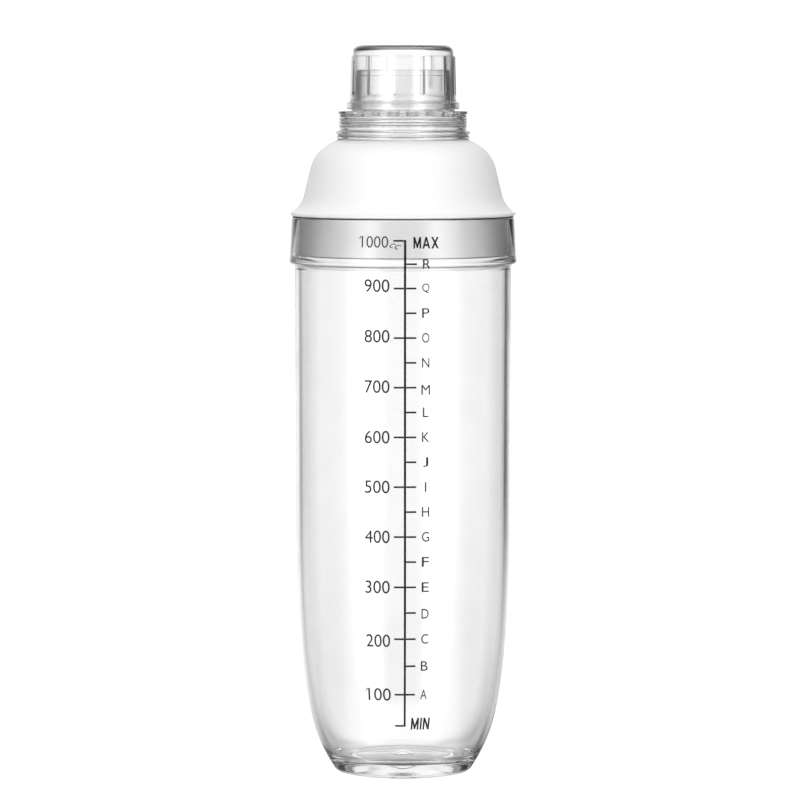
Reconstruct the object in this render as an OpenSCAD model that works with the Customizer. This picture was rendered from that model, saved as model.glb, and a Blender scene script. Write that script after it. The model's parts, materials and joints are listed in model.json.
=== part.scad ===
// Shaker bottle that pours through a strainer. Four moulded pieces stack on one axis:
// a clear graduated cup, a frosted shoulder lid that plugs into the cup's mouth,
// a clear straining neck fixed in the lid, and a fluted clear cap over the neck.
// The origin is the middle of the foot, on the surface that the bottle stands on, +Z up.
// The graduations face -Y. Every outline is drawn as radius against height and turned.

/* [Cup] */
// Outside radius of the wall just under the collar
cup_r = 43; // [42.6:0.1:43.2]
// Height of the rim above the surface
cup_h = 221.1; // [216:0.1:240]
// Thickness of the wall
cup_wall = 2.3; // [2:0.1:2.8]
// Draft of the straight upper wall, in degrees
cup_draft = 0.2; // [0:0.1:0.4]
// Height of the inside floor above the surface
floor_z = 6.5; // [6:0.1:7.5]
// Depth of the hollow under the floor
foot_hollow = 3.2; // [2:0.1:3.4]
// Height of the collar, from its step to the rim
collar_h = 20.1; // [18:0.1:24]
// How far the collar's lower bead stands out from the wall
collar_out = 2.27; // [1.8:0.01:2.6]
// Radius of the mouth that the lid plugs into
mouth_r = 42; // [41.6:0.1:42.2]

/* [Graduations] */
// Capacity at the top mark, in cubic centimetres
scale_top = 1000; // [900:50:1000]
// Capacity between two marks, in cubic centimetres
scale_step = 50; // [50:50:100]
// Length of a mark on either side of the upright line
mark_len = 4.4; // [3:0.1:6]
// Height of a mark
mark_t = 0.7; // [0.5:0.1:1]
// Width of the upright line
line_w = 0.9; // [0.6:0.1:1.2]
// Thickness of the ink
ink = 0.12; // [0.1:0.01:0.2]

/* [Lid] */
// Thickness of the lid's shell
lid_wall = 2; // [1.6:0.1:2.2]
// Radius of the lip that covers the cup's rim
lip_r = 44.6; // [44.5:0.1:45]
// Depth of the plug below the rim
plug_depth = 15.5; // [10:0.1:16]
// Radial clearance of the plug in the mouth
plug_gap = 0.3; // [0.2:0.05:0.4]
// Thickness of the seal between the lip and the rim
seal_t = 0.4; // [0.3:0.05:0.5]
// Slope of the lid's side from upright, in degrees
lid_slope = 13.4; // [12.4:0.1:14.2]

/* [Straining neck] */
// Outside radius of the ring above the lid
ring_r = 25.2; // [25:0.1:25.6]
// Height of the ring
ring_h = 11.3; // [11:0.1:13]
// Outside radius of the neck inside the cap
neck_r = 18.7; // [17:0.1:18.7]
// Height of the neck above the ring
neck_h = 16.2; // [12:0.1:20]
// Diameter of a straining hole
hole_d = 4.6; // [3:0.1:5]
// Thickness of the straining plate
plate_t = 1.8; // [1.4:0.1:2.4]

/* [Cap] */
// Height of the cap
cap_h = 25.3; // [24:0.1:30]
// Radius of the flange at its open end
flange_r = 22.5; // [22:0.1:23.5]
// Radius of the fluted wall at its lower end
cap_r = 21.2; // [21.1:0.1:21.6]
// Radius of the plain crown above the flutes
crown_r = 20.15; // [20:0.05:20.3]
// Radial clearance of the cap over the neck
cap_gap = 0.3; // [0.2:0.05:0.5]
// Number of flutes
flutes = 12; // [6:1:16]
// Width of a flute
flute_w = 2.7; // [2:0.1:3]
// Depth of a flute
flute_d = 0.45; // [0.3:0.05:0.7]

/* [Hidden] */
$fn = 180;
big = 100;

// Tangent arcs that carry the cup's wall down to its foot, from the top: each one's
// radius, and the wall's slope from upright, in degrees, where it takes over.
cup_arc = [814, 261.5, 64.4, 4];
cup_slope = [cup_draft, 3.4, 10.4, 33.8];
cup_last = len(cup_arc) - 1;
function cup_shift(i) = (cup_arc[i - 1] - cup_arc[i]) * [cos(cup_slope[i]), -sin(cup_slope[i])];
function cup_run(i) = i == 0 ? [0, 0] : cup_run(i - 1) + cup_shift(i);
collar_z = cup_h - collar_h;
first_z = cup_arc[cup_last] - cup_run(cup_last).y;
straight_z = first_z - cup_arc[0] * sin(cup_draft);
first_r = cup_r - (collar_z - straight_z) * tan(cup_draft) - cup_arc[0] * cos(cup_draft);
cup_centre = [for (i = [0 : cup_last]) [first_r, first_z] + cup_run(i)];
foot_r = cup_centre[cup_last].x;

// The inside shares the centres of the upper two arcs. Below them its own arcs thicken
// the wall a little and round it into the floor.
heel_arc = 58;
floor_round = 6;
heel_shift = cup_arc[1] - cup_wall - heel_arc;
heel = cup_centre[1] + heel_shift * [cos(cup_slope[2]), -sin(cup_slope[2])];
floor_slope = asin((heel.y - floor_z - floor_round) / (heel_arc - floor_round));
floor_centre = heel + (heel_arc - floor_round) * [cos(floor_slope), -sin(floor_slope)];

// Both faces of the wall, as outer and inner: how far in the straight part is, and the
// radius, starting slope and centre of each arc
outer = 0;
inner = 1;
face_inset = [0, cup_wall];
face_arc = [cup_arc, [cup_arc[0] - cup_wall, cup_arc[1] - cup_wall, heel_arc, floor_round]];
face_slope = [cup_slope, [cup_draft, cup_slope[1], cup_slope[2], floor_slope]];
face_centre = [cup_centre, [cup_centre[0], cup_centre[1], heel, floor_centre]];

// Height at which arc i of a face takes over from the one above
function takes_over(i, face) = i > cup_last
    ? face_centre[face][cup_last].y - face_arc[face][cup_last]
    : face_centre[face][i].y - face_arc[face][i] * sin(face_slope[face][i]);

// Radius of the straight upper wall's face at a height
function straight_r(z, face) =
    cup_r - (collar_z - z) * tan(cup_draft) - face_inset[face] / cos(cup_draft);

// Radius of a face of the wall at a height
function wall_r(z, face, i = 0) = z >= takes_over(0, face) ? straight_r(z, face)
    : z >= takes_over(i + 1, face) || i == cup_last
    ? face_centre[face][i].x + sqrt(pow(face_arc[face][i], 2) - pow(z - face_centre[face][i].y, 2))
    : wall_r(z, face, i + 1);

// Capacity, in cubic centimetres, up to a height, and the height for a capacity
slices = 60;
function inside_r(z) = z < flare_low ? wall_r(z, inner) : min(mouth_r, mouth_at(z));
function slice_r(z, i) = inside_r(floor_z + (z - floor_z) * (i + 0.5) / slices);
function added(v, i = 0) = i == len(v) ? 0 : v[i] + added(v, i + 1);
function capacity(z) =
    PI * (z - floor_z) / slices / 1000 * added([for (i = [0 : slices - 1]) pow(slice_r(z, i), 2)]);
function level(cc, low = floor_z, high = cup_h, turn = 0) = turn == 14 ? (low + high) / 2
    : capacity((low + high) / 2) < cc
    ? level(cc, (low + high) / 2, high, turn + 1)
    : level(cc, low, (low + high) / 2, turn + 1);

// Turn of the upright line from the front, and the hairline left beside it, in degrees
line_at = 1;
ink_gap = 0.03;

// The ink follows the wall in straight steps, so it stands this far off to clear the curve
ink_lift = 0.012;

// Collar and mouth
step_h = 1.4;
step_out = 0.6;
bead_r = 1.3;
bead_z = collar_z + 2.8;
collar_r = cup_r + collar_out;
collar_low_r = collar_r - 0.23;
rim_r = collar_r - 1.04;
rim_round = 0.8;
flare_low = collar_z - 0.4;
flare_high = collar_z + 4.6;
bore_r = straight_r(flare_low, inner);
function mouth_at(z) = bore_r + (mouth_r - bore_r) * (z - flare_low) / (flare_high - flare_low);
gate_r = 4.3;
gate_h = 1.1;

// Lid, above the rim: its side is a straight slope that flares into the lip at its foot
// and rolls over two tangent arcs into the seat of the neck.
side_r = 41.4;
lip_low = seal_t;
lip_high = lip_low + 1.3;
lip_round = 0.5;
flare_arc = 11.35;
flare_z = 11.44;
shoulder_z = 18.96;
lid_arc = [15.5, 19];
lid_turn = 54.9;
function side_at(z) = side_r - z * tan(lid_slope);
flare = [side_at(flare_z) + flare_arc / cos(lid_slope), flare_z];
shoulder = [side_at(shoulder_z), shoulder_z] - lid_arc[0] * [cos(lid_slope), sin(lid_slope)];
roll = shoulder + (lid_arc[0] - lid_arc[1]) * [cos(lid_turn), sin(lid_turn)];
neck_seat = 30.6;
plug_r = mouth_r - plug_gap;
plug_in = plug_r - lid_wall;
throat_r = 24;

// Straining neck, above its seat on the lid
seat_z = cup_h + neck_seat;
skirt_r = throat_r - 0.05;
skirt_in = 22.2;
skirt_h = 2.4;
rib_r = 0.4;
rib_heights = [5.6, 6.7, 8.1];
ring_round = 0.6;
neck_in = neck_r - 1.6;
lip_bead = 0.8;
rest_in = 19.4;
rest_out = 20.6;
rest_h = 0.7;
hole_rings = [0, 5.9, 12.2];
ring_holes = [1, 6, 12];

// Cap, above its open end
cap_z = seat_z + ring_h + rest_h;
cap_in = neck_r + cap_gap;
cap_top_t = 2;
flange_h = 2.8;
flange_round = 0.8;
crown_z = 20.8;
crown_round = 3.4;
crown_draft = 0.45;
hollow_round = 1.4;
flute_turn = -8.7;
flute_end = 6.6;
flute_cut = (pow(flute_w / 2, 2) + pow(flute_d, 2)) / (2 * flute_d);
flute_at = cap_r - crown_draft / 2 - flute_d + flute_cut;

// A rectangle from the axis out to a radius, between two heights
module slab(r, low, high) {
    polygon([[0, low], [r, low], [r, high], [0, high]]);
}

// All that lies on the axis side of an arc, between two heights
module arc_slab(centre, radius, low, high) {
    intersection() {
        union() {
            translate(centre) circle(r = radius);
            if (centre.x > 0) slab(centre.x, centre.y - radius, centre.y + radius);
        }
        slab(big, low, high);
    }
}

// All that lies inside a face of the wall, without the collar
module cup_fill(face) {
    low = takes_over(0, face);
    high = straight_r(collar_z, face);
    polygon([[0, low], [straight_r(low, face), low], [high, collar_z],
        [high, collar_z + step_h], [0, collar_z + step_h]]);
    for (i = [0 : cup_last])
        arc_slab(face_centre[face][i], face_arc[face][i], takes_over(i + 1, face), takes_over(i, face));
}

// The collar's solid outline
module collar_fill() {
    polygon([[0, collar_z], [cup_r, collar_z], [cup_r + step_out, collar_z + step_h],
        [cup_r + step_out, bead_z], [collar_low_r, bead_z], [rim_r, cup_h - rim_round], [0, cup_h - rim_round]]);
    translate([collar_r - bead_r, bead_z]) circle(r = bead_r);
    translate([rim_r - rim_round, cup_h - rim_round]) circle(r = rim_round);
    slab(rim_r - rim_round, cup_h - 2 * rim_round, cup_h);
}

// The whole outside of the cup
module cup_outside() {
    cup_fill(outer);
    collar_fill();
}

// The mouth, which widens to the plug's size over an easy taper
module mouth_fill() {
    polygon([[0, flare_low - 1], [bore_r - 0.1, flare_low - 1], [bore_r, flare_low], [mouth_r, flare_high],
        [mouth_r, cup_h - rim_round], [mouth_r + rim_round / 2, cup_h + 1], [0, cup_h + 1]]);
}

// The hollow under the foot, with a round dimple for the moulding gate in the middle
module foot_fill() {
    polygon([[0, -1], [foot_r - 2.4, -1], [foot_r - 2.4, 0], [foot_r - 5, foot_hollow], [0, foot_hollow]]);
    intersection() {
        translate([0, foot_hollow - gate_r]) circle(r = gate_r * sqrt(2));
        slab(gate_r, 0, floor_z - 1);
    }
}

module cup() {
    color([0.86, 0.9, 0.92, 0.35]) rotate_extrude() {
        difference() {
            cup_outside();
            cup_fill(inner);
            mouth_fill();
            foot_fill();
        }
        intersection() {
            translate([0, floor_z + gate_h - 9]) circle(r = 9);
            slab(gate_r, floor_z - 1, floor_z + gate_h);
        }
    }
}

// Radius of the cup's outside at a height, collar and bead included
function bead_at(z) = abs(z - bead_z) < bead_r
    ? collar_r - bead_r + sqrt(pow(bead_r, 2) - pow(z - bead_z, 2))
    : 0;
function collar_at(z) = z < collar_z + step_h ? cup_r + step_out * (z - collar_z) / step_h
    : z < bead_z ? cup_r + step_out
    : collar_low_r - (collar_low_r - rim_r) * (z - bead_z) / (cup_h - rim_round - bead_z);
function outside_r(z) = z < collar_z ? wall_r(z, outer) : max(collar_at(z), bead_at(z));

// A patch of ink on the cup's face between two heights, from one turn to another in
// degrees from the front. It follows the wall in even steps, then the collar's corners,
// and starts out over the bead a little below it.
ink_steps = concat([for (z = [floor_z : 2 : collar_z - 1]) z],
    [collar_z, collar_z + step_h, bead_z - bead_r - 0.08],
    [for (a = [-80 : 5 : 40]) bead_z + bead_r * sin(a)]);
module ink_patch(low, high, from, to) {
    heights = concat([low], [for (z = ink_steps) if (z > low && z < high) z], [high]);
    rotate([0, 0, from - 90]) rotate_extrude(angle = to - from) polygon(concat(
        [for (z = heights) [outside_r(z) + ink_lift, z]],
        [for (i = [len(heights) - 1 : -1 : 0]) [outside_r(heights[i]) + ink, heights[i]]]));
}

module scale_print() {
    reach = mark_len / cup_r * 180 / PI;
    edge = line_w / cup_r * 90 / PI;
    clear = edge + ink_gap;
    color([0.08, 0.08, 0.09]) {
        ink_patch(level(scale_step) - mark_t / 2, level(scale_top) + mark_t / 2, line_at - edge, line_at + edge);
        for (cc = [scale_step : scale_step : scale_top]) {
            low = level(cc) - mark_t / 2;
            high = level(cc) + mark_t / 2;
            ends = cc == scale_step || cc == scale_top;
            if (!ends) ink_patch(low, high, line_at + clear, line_at + reach);
            if (ends || cc % (2 * scale_step) == 0) ink_patch(low, high, line_at - reach, line_at - clear);
        }
    }
}

// Points along an arc, from one angle to another
function arc(centre, radius, from, to, steps) =
    [for (i = [0 : steps]) centre + radius * [cos(from + (to - from) * i / steps), sin(from + (to - from) * i / steps)]];

// The lid's solid outline above the rim, drawn this far inside its shell: straight up
// from a height, then along the flare that starts this many degrees round its arc
module lid_fill(inset, low, flare_from) {
    rise = concat(arc(flare, flare_arc + inset, 180 + flare_from, 180 + lid_slope, 8),
        arc(shoulder, lid_arc[0] - inset, lid_slope, lid_turn, 8),
        arc(roll, lid_arc[1] - inset, lid_turn, 90, 8));
    polygon(concat([[0, low], [rise[0].x, low]], rise, [[0, roll.y + lid_arc[1] - inset]]));
}

// The lip that covers the rim, with rounded edges
module lip_fill() {
    slab(lip_r - lip_round, lip_low, lip_high);
    slab(lip_r, lip_low + lip_round, lip_high - lip_round);
    for (z = [lip_low + lip_round, lip_high - lip_round])
        translate([lip_r - lip_round, z]) circle(r = lip_round);
}

module lid_shell() {
    color([0.96, 0.96, 0.96]) translate([0, 0, cup_h]) rotate_extrude() difference() {
        union() {
            lid_fill(0, lip_high - lip_round, asin((flare_z - lip_high) / flare_arc));
            lip_fill();
            polygon([[0, -plug_depth], [plug_r - 0.6, -plug_depth], [plug_r, 0.6 - plug_depth],
                [plug_r, lip_high], [0, lip_high]]);
        }
        lid_fill(lid_wall, -plug_depth - 1, acos((flare.x - plug_in) / (flare_arc + lid_wall)));
        slab(throat_r, 0, big);
        slab(big, neck_seat, big);
    }
}

module lid_seal() {
    color([0.12, 0.12, 0.13]) translate([0, 0, cup_h]) rotate_extrude()
        translate([mouth_r + rim_round / 2, 0]) square([rim_r - mouth_r - rim_round, seal_t]);
}

// Straining holes: one in the middle, then rings of 6 and 12
module straining_holes(low, high) {
    for (i = [0 : len(hole_rings) - 1])
        for (k = [0 : ring_holes[i] - 1])
            rotate([0, 0, 360 * k / ring_holes[i]])
                translate([hole_rings[i], 0, low]) cylinder(h = high - low, d = hole_d);
}

module strainer_neck() {
    color([0.88, 0.91, 0.93, 0.4]) translate([0, 0, seat_z]) difference() {
        rotate_extrude() difference() {
            union() {
                slab(skirt_r, -skirt_h, 1);
                slab(ring_r, 0, ring_h - ring_round);
                translate([ring_r + 0.65, 0.85]) circle(r = 0.6);
                slab(ring_r + 0.65, 0.25, 1.45);
                translate([ring_r + 0.75, 2.7]) circle(r = 0.7);
                slab(ring_r + 0.75, 2, 3.4);
                for (z = rib_heights) translate([ring_r, z]) circle(r = rib_r);
                translate([ring_r - 0.1, ring_h - ring_round]) circle(r = ring_round);
                slab(ring_r - 0.1, ring_h - 2 * ring_round, ring_h);
                slab(rest_out, 0, ring_h + rest_h);
                slab(neck_r, 0, ring_h + neck_h - lip_bead);
                translate([neck_r - lip_bead, ring_h + neck_h - lip_bead]) circle(r = lip_bead);
            }
            slab(skirt_in, -skirt_h - 1, ring_h - plate_t);
            slab(neck_in, ring_h, big);
            translate([neck_r, ring_h]) square([rest_in - neck_r, big]);
        }
        straining_holes(ring_h - plate_t - 1, ring_h + 1);
    }
}

// The cap's solid outline
module cap_fill() {
    slab(flange_r, flange_round, flange_h - flange_round);
    slab(flange_r - flange_round, 0, flange_h);
    for (z = [flange_round, flange_h - flange_round])
        translate([flange_r - flange_round, z]) circle(r = flange_round);
    polygon([[0, 0], [cap_r, flange_h - 0.1], [cap_r - crown_draft, crown_z], [0, crown_z]]);
    slab(crown_r, crown_z - 1, cap_h - crown_round);
    slab(crown_r - crown_round, crown_z, cap_h);
    translate([crown_r - crown_round, cap_h - crown_round]) circle(r = crown_round);
}

// The hollow inside the cap
module cap_hollow() {
    top = cap_h - cap_top_t;
    slab(cap_in, -1, top - hollow_round);
    slab(cap_in - hollow_round, 0, top);
    translate([cap_in - hollow_round, top - hollow_round]) circle(r = hollow_round);
}

module cap() {
    color([0.9, 0.92, 0.94, 0.4]) translate([0, 0, cap_z]) difference() {
        rotate_extrude() difference() {
            cap_fill();
            cap_hollow();
        }
        for (i = [0 : flutes - 1])
            rotate([0, 0, flute_turn - 90 + 360 * i / flutes]) translate([flute_at, 0, flute_end]) {
                cylinder(h = crown_z - flute_end + 1, r = flute_cut);
                sphere(r = flute_cut);
            }
    }
}

cup();
scale_print();
lid_shell();
lid_seal();
strainer_neck();
cap();
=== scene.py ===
"""Looks of a clear graduated shaker bottle: the cup and its printed scale, the frosted
shoulder lid with its seal, the straining neck, the fluted cap, and the studio around them.

Sizes are in millimetres in the classes and become metres when a mesh is made. Every
outline is a path of radius against height that is turned about the bottle's axis.
"""
from __future__ import annotations

import json
import logging
import math
from collections.abc import Callable
from dataclasses import dataclass, field
from enum import Enum

import bmesh
import bpy
import numpy as np
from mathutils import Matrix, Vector

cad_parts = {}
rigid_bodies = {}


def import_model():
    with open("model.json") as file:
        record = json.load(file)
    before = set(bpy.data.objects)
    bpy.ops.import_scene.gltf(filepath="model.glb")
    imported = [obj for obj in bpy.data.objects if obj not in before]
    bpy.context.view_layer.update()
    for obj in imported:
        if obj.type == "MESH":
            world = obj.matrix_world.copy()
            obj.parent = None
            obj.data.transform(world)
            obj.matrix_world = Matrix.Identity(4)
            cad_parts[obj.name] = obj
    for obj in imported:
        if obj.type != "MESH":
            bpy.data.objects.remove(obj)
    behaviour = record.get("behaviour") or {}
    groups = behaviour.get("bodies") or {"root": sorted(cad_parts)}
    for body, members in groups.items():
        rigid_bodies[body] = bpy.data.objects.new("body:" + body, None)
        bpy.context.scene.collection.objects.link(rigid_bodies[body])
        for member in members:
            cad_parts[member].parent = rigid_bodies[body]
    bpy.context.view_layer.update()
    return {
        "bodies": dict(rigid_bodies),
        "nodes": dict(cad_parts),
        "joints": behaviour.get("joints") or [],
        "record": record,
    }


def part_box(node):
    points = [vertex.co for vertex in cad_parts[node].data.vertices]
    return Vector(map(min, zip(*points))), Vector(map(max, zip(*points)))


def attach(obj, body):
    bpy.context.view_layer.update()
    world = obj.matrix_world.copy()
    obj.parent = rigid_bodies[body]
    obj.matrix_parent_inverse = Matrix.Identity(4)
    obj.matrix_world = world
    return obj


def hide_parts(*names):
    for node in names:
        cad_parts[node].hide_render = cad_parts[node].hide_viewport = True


LOG = logging.getLogger("shaker_bottle")
MM = 0.001

Point = tuple[float, float]
Path = list[Point]


@dataclass(frozen=True)
class Bend:
    """One arc of a wall's face.

    Attributes:
        centre: middle of the arc, as radius and height.
        radius: the arc's own radius.
        start: slope of the face from upright, in degrees, where the arc starts.
        end: its slope where the arc ends, lower down.
    """

    centre: Point
    radius: float
    start: float
    end: float


class Body(Enum):
    """The bottle's moving bodies."""

    CUP = "cup"
    LID = "lid"
    CAP = "cap"


class Slot(Enum):
    """The finishes that the record names."""

    CLEAR = "clear_plastic"
    FROSTED = "frosted_plastic"
    # The seal's near-black finish is painted shadow for the gap under the lid's lip.
    SEAL = "seal_rubber"
    INK = "ink"


class Lettering(Enum):
    """How a line of print is drawn: the change of stroke, in ems, or bars of a width."""

    FINE = -0.006
    PLAIN = 0.0
    BARRED = 0.17
    FLAG = 0.36


# Each letter that is drawn from bars: its width against its height, and its lines
STROKES: dict[str, tuple[float, list[Path]]] = {
    "A": (0.62, [[(0.0, 0.0), (0.5, 1.0), (1.0, 0.0)], [(0.18, 0.3), (0.82, 0.3)]]),
    "I": (0.0, [[(0.0, 0.0), (0.0, 1.0)]]),
    "M": (0.62, [[(0.0, 0.0), (0.0, 1.0), (0.5, 0.15), (1.0, 1.0), (1.0, 0.0)]]),
    "N": (0.5, [[(0.0, 0.0), (0.0, 1.0), (1.0, 0.0), (1.0, 1.0)]]),
    "X": (0.6, [[(0.0, 0.0), (1.0, 1.0)], [(0.0, 1.0), (1.0, 0.0)]]),
    "/": (1.0, [[(0.0, 0.0), (1.0, 1.0)]]),
}


# ---------------------------------------------------------------- outlines and turning


def arc(centre: Point, radius: float, start: float, end: float, steps: int) -> Path:
    """Points along an arc.

    Args:
        centre: middle of the arc, as radius and height.
        radius: the arc's own radius.
        start: angle of the first point, in degrees from straight out.
        end: angle of the last point.
        steps: how many chords the arc is cut into.

    Returns:
        The points from start to end.
    """
    angles = np.radians(np.linspace(start, end, steps + 1))
    return [(centre[0] + radius * math.cos(a), centre[1] + radius * math.sin(a)) for a in angles]


def eased(corners: list[tuple[float, float, float]], steps: int = 5) -> Path:
    """A path through corners, each rounded by its own radius.

    Args:
        corners: radius, height and rounding of each corner; a rounding of 0 keeps it sharp.
        steps: how many chords each rounding is cut into.

    Returns:
        The path's points.
    """
    path: Path = []
    for i, (r, z, rounding) in enumerate(corners):
        here = Vector((r, z))
        if rounding <= 0 or i in (0, len(corners) - 1):
            path.append((r, z))
            continue
        back = Vector(corners[i - 1][:2]) - here
        ahead = Vector(corners[i + 1][:2]) - here
        half_angle = back.angle(ahead) / 2
        reach = min(rounding / math.tan(half_angle), 0.49 * back.length, 0.49 * ahead.length)
        start, end = here + back.normalized() * reach, here + ahead.normalized() * reach
        for k in range(steps + 1):
            t = k / steps
            spot = start * (1 - t) ** 2 + here * 2 * t * (1 - t) + end * t**2
            path.append((spot.x, spot.y))
    return path


def turned(
    name: str,
    path: Path,
    segments: int,
    closed: bool,
    carve: Callable[[float, float, float], float] | None = None,
) -> bpy.types.Object:
    """Turns a path about the bottle's axis into a mesh.

    Args:
        name: the piece's name.
        path: the outline, walked with the solid on its left.
        segments: how many steps make a full turn.
        closed: True for a ring that joins its own start, False for a path between
            two points on the axis.
        carve: takes an angle, a radius and a height and gives how far the surface
            moves inwards there.

    Returns:
        The new object, with the outline's sharp corners kept crisp.
    """
    mesh = bmesh.new()
    rows = []
    for r, z in path:
        if r < 1e-6:
            rows.append([mesh.verts.new((0, 0, z * MM))])
            continue
        row = []
        for k in range(segments):
            angle = 2 * math.pi * k / segments
            out = (r - (carve(angle, r, z) if carve else 0.0)) * MM
            row.append(mesh.verts.new((out * math.cos(angle), out * math.sin(angle), z * MM)))
        rows.append(row)
    pairs = list(zip(rows, rows[1:] + rows[:1] if closed else rows[1:]))
    for low, high in pairs:
        for k in range(segments):
            after = k + 1
            ring = [low[k % len(low)], low[after % len(low)], high[after % len(high)], high[k % len(high)]]
            corners = list(dict.fromkeys(ring))
            if len(corners) > 2:
                mesh.faces.new(corners)
    bmesh.ops.recalc_face_normals(mesh, faces=mesh.faces)
    return solid_from(mesh, name)


def solid_from(mesh: bmesh.types.BMesh, name: str, crease: float = 32.0) -> bpy.types.Object:
    """Makes an object from a bmesh, smooth but for its sharp corners.

    Args:
        mesh: the geometry, which is freed.
        name: the piece's name.
        crease: the angle between faces, in degrees, from which an edge stays sharp.

    Returns:
        The new object, linked to the scene.
    """
    data = bpy.data.meshes.new(name)
    mesh.to_mesh(data)
    mesh.free()
    data.shade_smooth()
    data.set_sharp_from_angle(angle=math.radians(crease))
    piece = bpy.data.objects.new(name, data)
    bpy.context.scene.collection.objects.link(piece)
    return piece


def cut(piece: bpy.types.Object, cutter: bpy.types.Object) -> None:
    """Takes a cutter's shape out of a piece, and removes the cutter.

    Args:
        piece: the solid that is cut.
        cutter: the shape that is taken away.
    """
    modifier = piece.modifiers.new("cut", "BOOLEAN")
    modifier.operation = "DIFFERENCE"
    modifier.solver = "EXACT"
    modifier.object = cutter
    bpy.context.view_layer.update()
    view = bpy.context.evaluated_depsgraph_get()
    result = bpy.data.meshes.new_from_object(piece.evaluated_get(view))
    piece.modifiers.clear()
    piece.data = result
    result.shade_smooth()
    result.set_sharp_from_angle(angle=math.radians(32.0))
    bpy.data.objects.remove(cutter)


def settle(piece: bpy.types.Object, body: Body, finish: bpy.types.Material) -> None:
    """Gives a piece its body and its material.

    Args:
        piece: the finished piece.
        body: the moving body that it belongs to.
        finish: the material that it wears.
    """
    piece.data.materials.clear()
    piece.data.materials.append(finish)
    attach(piece, body.value)
    LOG.info("%s: %d faces on body %s", piece.name, len(piece.data.polygons), body.value)


# ---------------------------------------------------------------- shader node groups


@dataclass
class Wiring:
    """Adds and joins nodes in one node tree."""

    tree: bpy.types.NodeTree

    def add(self, kind: str, **settings: object) -> bpy.types.Node:
        """Adds a node.

        Args:
            kind: the node's type name.
            settings: attributes to set on it.

        Returns:
            The new node.
        """
        node = self.tree.nodes.new(kind)
        for key, value in settings.items():
            setattr(node, key, value)
        return node

    def link(self, source: bpy.types.NodeSocket, target: bpy.types.NodeSocket) -> None:
        """Joins two sockets."""
        self.tree.links.new(source, target)

    def math(self, operation: str, first: object, second: object = 0.0) -> bpy.types.NodeSocket:
        """A Math node on two values or sockets.

        Args:
            operation: the node's operation.
            first: a number or a socket.
            second: a number or a socket.

        Returns:
            The node's output.
        """
        node = self.add("ShaderNodeMath", operation=operation)
        for socket, value in zip(node.inputs, (first, second)):
            if isinstance(value, bpy.types.NodeSocket):
                self.link(value, socket)
            else:
                socket.default_value = value
        return node.outputs[0]

    def spread(self, value: bpy.types.NodeSocket, source: Point, target: Point) -> bpy.types.NodeSocket:
        """Maps a value smoothly from one span to another.

        Args:
            value: the socket that is mapped.
            source: the span that is read.
            target: the span that is given.

        Returns:
            The mapped output.
        """
        node = self.add("ShaderNodeMapRange", interpolation_type="SMOOTHSTEP")
        self.link(value, node.inputs["Value"])
        node.inputs["From Min"].default_value, node.inputs["From Max"].default_value = source
        node.inputs["To Min"].default_value, node.inputs["To Max"].default_value = target
        return node.outputs["Result"]


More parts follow.
